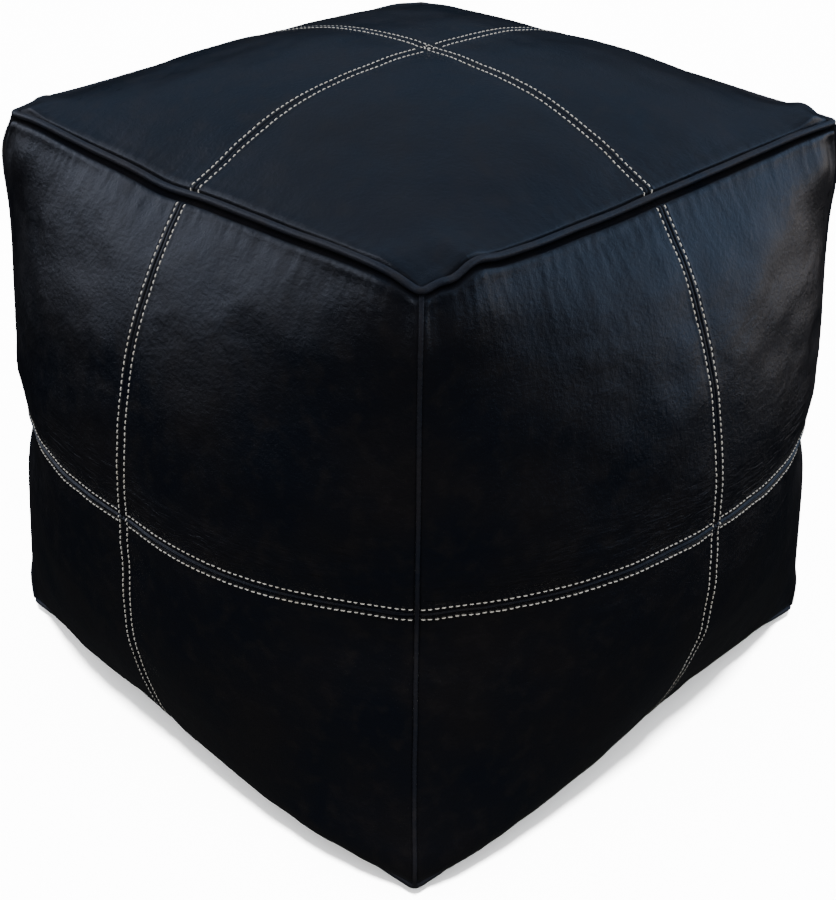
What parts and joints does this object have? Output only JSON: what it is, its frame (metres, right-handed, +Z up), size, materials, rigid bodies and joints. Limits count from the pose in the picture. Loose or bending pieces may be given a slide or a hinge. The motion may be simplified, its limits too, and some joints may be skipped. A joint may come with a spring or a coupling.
{
  "type": "moroccan leather pouf",
  "caption": "Square stuffed leather floor pouf with quartered panels, corded rim, corner welts, contrast topstitching and a zip in the base.",
  "frame": {"origin": "middle of the base, on the surface that the pouf stands on", "axes": "+Z up, -Y out of the front side, +X to the front's right; the zip runs along X"},
  "size_m": [0.5726, 0.5726, 0.4828],
  "materials": {
    "leather": "semi-gloss black full-grain leather",
    "thread": "waxed off-white topstitching thread",
    "cotton_cord": "twisted cotton piping cord",
    "stuffing": "loose cotton and fibre fill",
    "zip_tape": "black woven zip tape",
    "zip_metal": "gunmetal plated zip"
  },
  "bodies": {
    "cover": {"top_panel_front_left": "leather", "top_panel_front_right": "leather", "top_panel_rear_left": "leather", "top_panel_rear_right": "leather", "front_panel_upper_left": "leather", "front_panel_upper_right": "leather", "front_panel_lower_left": "leather", "front_panel_lower_right": "leather", "right_panel_upper_left": "leather", "right_panel_upper_right": "leather", "right_panel_lower_left": "leather", "right_panel_lower_right": "leather", "rear_panel_upper_left": "leather", "rear_panel_upper_right": "leather", "rear_panel_lower_left": "leather", "rear_panel_lower_right": "leather", "left_panel_upper_left": "leather", "left_panel_upper_right": "leather", "left_panel_lower_left": "leather", "left_panel_lower_right": "leather", "base_panel_front": "leather", "base_panel_rear": "leather", "corner_welt_front_left": "leather", "corner_welt_front_right": "leather", "corner_welt_rear_left": "leather", "corner_welt_rear_right": "leather", "rim_piping_cover": "leather", "base_piping_cover": "leather", "rim_piping_cord": "cotton_cord", "base_piping_cord": "cotton_cord", "top_thread_across": "thread", "top_thread_front": "thread", "top_thread_rear": "thread", "front_thread_upright": "thread", "front_thread_level_left": "thread", "front_thread_level_right": "thread", "right_thread_upright": "thread", "right_thread_level_left": "thread", "right_thread_level_right": "thread", "rear_thread_upright": "thread", "rear_thread_level_left": "thread", "rear_thread_level_right": "thread", "left_thread_upright": "thread", "left_thread_level_left": "thread", "left_thread_level_right": "thread", "base_thread_front": "thread", "base_thread_rear": "thread", "stuffing": "stuffing", "zip_tape_front": "zip_tape", "zip_tape_rear": "zip_tape", "zip_teeth_front": "zip_metal", "zip_teeth_rear": "zip_metal", "zip_stop_closed_end": "zip_metal", "zip_stop_open_end": "zip_metal"},
    "slider": {"zip_slider": "zip_metal"},
    "pull_tab": {"zip_pull_tab": "zip_metal"}
  },
  "joints": [
    {"name": "zip_slide", "type": "slide", "parent": "cover", "child": "slider", "axis": [-1, 0, 0], "range_m": [0, 0.296]},
    {"name": "pull_tab_flip", "type": "hinge", "parent": "slider", "child": "pull_tab", "pos_m": [0.15, 0, 0.00525], "axis": [0, -1, 0], "range_deg": [0, 170]}
  ]
}
